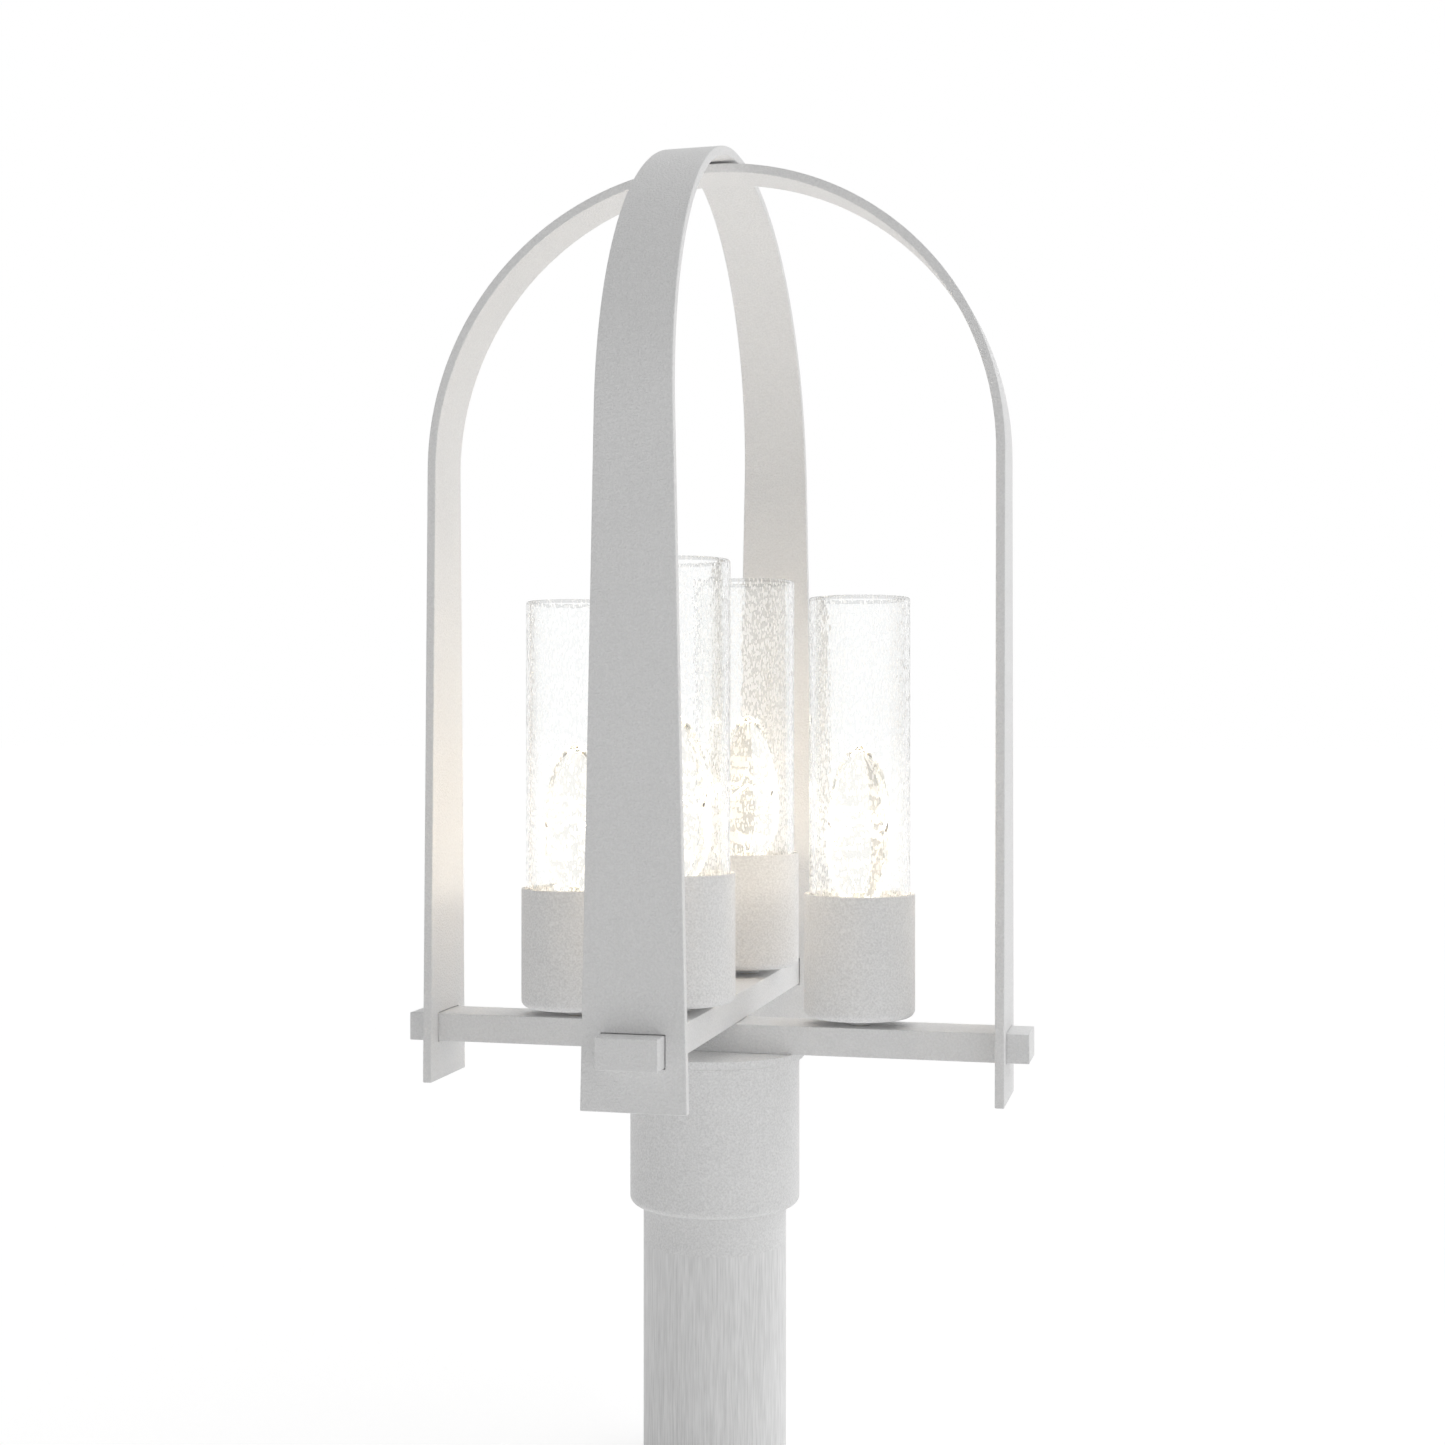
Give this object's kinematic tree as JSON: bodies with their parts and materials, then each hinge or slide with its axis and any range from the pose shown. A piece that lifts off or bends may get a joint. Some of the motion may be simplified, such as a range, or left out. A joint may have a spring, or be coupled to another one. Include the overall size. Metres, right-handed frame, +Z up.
{
  "type": "post-top lantern",
  "caption": "White post-top lantern: crossed bars and crossed tapered arch straps over seeded-glass cylinders with candle bulbs, on a sleeve that clamps to a round post.",
  "frame": {"origin": "centre of the post's cut foot, on the plane that the post stands on", "axes": "+Z up the post, +X along the lower bar, -Y to the front of the lantern"},
  "size_m": [0.3366, 0.3366, 0.6904],
  "materials": {
    "white_paint": "fine textured white powder coat",
    "seeded_glass": "clear seeded glass",
    "bulb_glass": "clear lamp glass",
    "brass": "plain",
    "filament": "tungsten, lit",
    "socket_phenolic": "matt",
    "silicone": "satin",
    "lead_jacket": "matt",
    "nylon": "matt",
    "zinc_steel": "zinc plated"
  },
  "bodies": {
    "post": {"post": "white_paint"},
    "lantern": {"fitter_sleeve": "white_paint", "fitter_plate": "white_paint", "lower_bar": "white_paint", "upper_bar": "white_paint", "lower_arch": "white_paint", "upper_arch": "white_paint", "bar_screw_1": "zinc_steel", "bar_screw_2": "zinc_steel", "apex_screw": "zinc_steel", "apex_washer": "zinc_steel", "lead_connector": "nylon", "cup_right": "white_paint", "cup_left": "white_paint", "cup_front": "white_paint", "cup_back": "white_paint", "cup_spacer_right": "white_paint", "cup_spacer_left": "white_paint", "cup_spacer_front": "white_paint", "cup_spacer_back": "white_paint", "cup_nipple_right": "brass", "cup_nipple_left": "brass", "cup_nipple_front": "brass", "cup_nipple_back": "brass", "cup_nut_right": "brass", "cup_nut_left": "brass", "cup_nut_front": "brass", "cup_nut_back": "brass", "socket_right": "socket_phenolic", "socket_left": "socket_phenolic", "socket_front": "socket_phenolic", "socket_back": "socket_phenolic", "glass_seat_right": "silicone", "glass_seat_left": "silicone", "glass_seat_front": "silicone", "glass_seat_back": "silicone", "lamp_lead_right": "lead_jacket", "lamp_lead_left": "lead_jacket", "lamp_lead_front": "lead_jacket", "lamp_lead_back": "lead_jacket"},
    "glass_right": {"glass_right": "seeded_glass"},
    "bulb_right": {"bulb_cap_right": "brass", "bulb_glass_right": "bulb_glass", "bulb_filament_right": "filament"},
    "glass_left": {"glass_left": "seeded_glass"},
    "bulb_left": {"bulb_cap_left": "brass", "bulb_glass_left": "bulb_glass", "bulb_filament_left": "filament"},
    "glass_front": {"glass_front": "seeded_glass"},
    "bulb_front": {"bulb_cap_front": "brass", "bulb_glass_front": "bulb_glass", "bulb_filament_front": "filament"},
    "glass_back": {"glass_back": "seeded_glass"},
    "bulb_back": {"bulb_cap_back": "brass", "bulb_glass_back": "bulb_glass", "bulb_filament_back": "filament"},
    "set_screw_1": {"set_screw_1": "zinc_steel"},
    "set_screw_2": {"set_screw_2": "zinc_steel"},
    "set_screw_3": {"set_screw_3": "zinc_steel"}
  },
  "joints": [
    {"name": "lantern_turn", "type": "hinge", "parent": "post", "child": "lantern", "pos_m": [0, 0, 0.2], "axis": [0, 0, 1], "range_deg": [-180, 180]},
    {"name": "glass_lift_right", "type": "slide", "parent": "lantern", "child": "glass_right", "axis": [0, 0, 1], "range_m": [0, 0.15]},
    {"name": "bulb_lift_right", "type": "slide", "parent": "lantern", "child": "bulb_right", "axis": [0, 0, 1], "range_m": [0, 0.15]},
    {"name": "glass_lift_left", "type": "slide", "parent": "lantern", "child": "glass_left", "axis": [0, 0, 1], "range_m": [0, 0.15]},
    {"name": "bulb_lift_left", "type": "slide", "parent": "lantern", "child": "bulb_left", "axis": [0, 0, 1], "range_m": [0, 0.15]},
    {"name": "glass_lift_front", "type": "slide", "parent": "lantern", "child": "glass_front", "axis": [0, 0, 1], "range_m": [0, 0.15]},
    {"name": "bulb_lift_front", "type": "slide", "parent": "lantern", "child": "bulb_front", "axis": [0, 0, 1], "range_m": [0, 0.15]},
    {"name": "glass_lift_back", "type": "slide", "parent": "lantern", "child": "glass_back", "axis": [0, 0, 1], "range_m": [0, 0.15]},
    {"name": "bulb_lift_back", "type": "slide", "parent": "lantern", "child": "bulb_back", "axis": [0, 0, 1], "range_m": [0, 0.15]},
    {"name": "set_screw_back_out_1", "type": "slide", "parent": "lantern", "child": "set_screw_1", "axis": [-0.2588, -0.9659, 0], "range_m": [0, 0.006]},
    {"name": "set_screw_back_out_2", "type": "slide", "parent": "lantern", "child": "set_screw_2", "axis": [0.9659, 0.2588, 0], "range_m": [0, 0.006]},
    {"name": "set_screw_back_out_3", "type": "slide", "parent": "lantern", "child": "set_screw_3", "axis": [-0.7071, 0.7071, 0], "range_m": [0, 0.006]}
  ]
}
